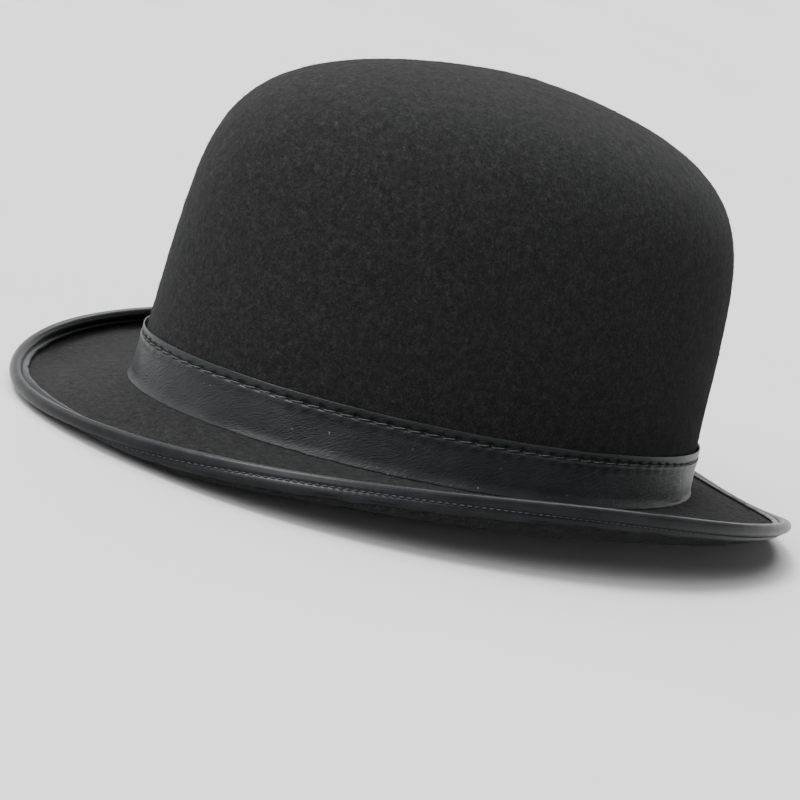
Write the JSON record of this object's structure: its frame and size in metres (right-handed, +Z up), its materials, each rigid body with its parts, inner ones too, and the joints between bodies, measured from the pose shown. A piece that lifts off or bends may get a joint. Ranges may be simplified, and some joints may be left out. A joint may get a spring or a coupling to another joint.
{
  "type": "bowler hat",
  "caption": "Bowler hat of stiff dark wool felt: domed crown, brim rolled up at the sides, imitation-leather band and edge binding, sweatband and satin lining inside.",
  "frame": {"origin": "middle of the bounding box in plan, on the floor that the hat's brim stands on", "axes": "+Z up through the crown, -Y towards the brow (front), +Y towards the nape, +X towards the wearer's left"},
  "size_m": [0.2728, 0.2892, 0.1429],
  "materials": {
    "wool_felt": "dense charcoal-black wool felt with short mottled fibres",
    "band_leather": "satin imitation leather, dark grey, with a fine wrinkled grain",
    "binding_leather": "satin imitation leather tape, dark grey",
    "band_thread": "twisted olive-grey sewing thread",
    "binding_thread": "twisted dark blue-grey sewing thread",
    "sweatband_cloth": "black ribbed cotton tape, matt",
    "sweatband_thread": "black sewing thread",
    "reed_plastic": "translucent plastic cord, semi-matt",
    "lining_satin": "black satin, soft sheen",
    "lining_thread": "black sewing thread",
    "bow_ribbon": "black ribbed ribbon",
    "label_cloth": "off-white woven label, blank"
  },
  "bodies": {
    "root": {"felt_body": "wool_felt", "hat_band": "band_leather", "hat_band_thread": "band_thread", "brim_binding": "binding_leather", "binding_needle_thread": "binding_thread", "binding_bobbin_thread": "binding_thread", "sweatband": "sweatband_cloth", "sweatband_reed": "reed_plastic", "sweatband_thread": "sweatband_thread", "lining_side": "lining_satin", "lining_tip": "lining_satin", "lining_seam_thread": "lining_thread", "sweatband_bow": "bow_ribbon", "sweatband_bow_wrap": "bow_ribbon", "size_label": "label_cloth"}
  },
  "joints": []
}
